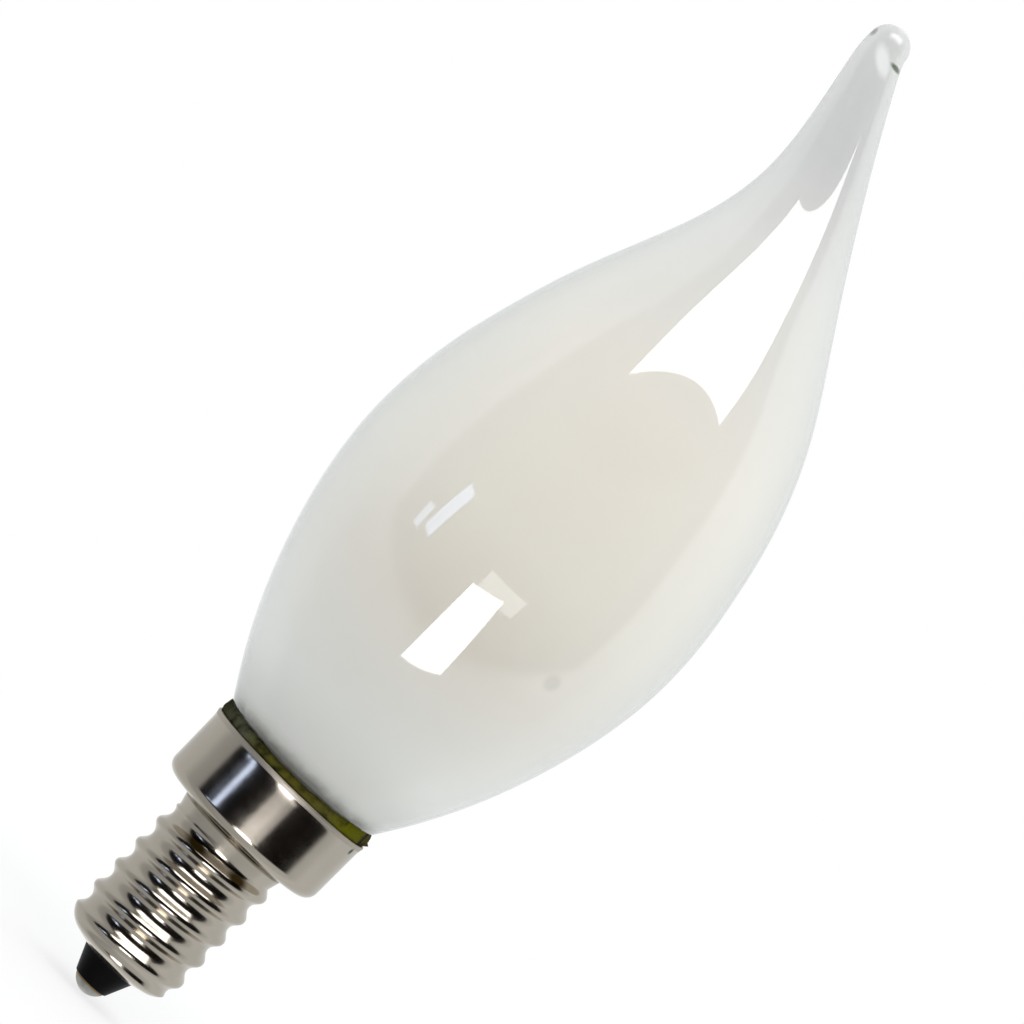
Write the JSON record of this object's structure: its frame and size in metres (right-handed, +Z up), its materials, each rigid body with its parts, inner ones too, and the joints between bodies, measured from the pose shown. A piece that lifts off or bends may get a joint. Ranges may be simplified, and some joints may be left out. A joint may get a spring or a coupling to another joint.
{
  "type": "candle bulb",
  "caption": "Flame-shaped frosted glass candle bulb with a bent tip, on a small nickel screw cap with a wide skirt, black insulator and domed end contact.",
  "frame": {"origin": "lowest point of the domed end contact, on the cap's axis", "axes": "+Z up along the cap's axis to the glass tip; the tip bends to -X"},
  "size_m": [0.0348, 0.0348, 0.1084],
  "materials": {
    "frosted_glass": "glossy outside, white frosting inside",
    "cement": "rough, uneven",
    "nickel": "bright nickel plate on drawn sheet",
    "black_insulator": "glossy",
    "contact_metal": "dull, tinned"
  },
  "bodies": {
    "root": {"glass_bulb": "frosted_glass", "capping_cement": "cement", "screw_cap": "nickel", "cap_insulator": "black_insulator", "end_contact": "contact_metal"}
  },
  "joints": []
}
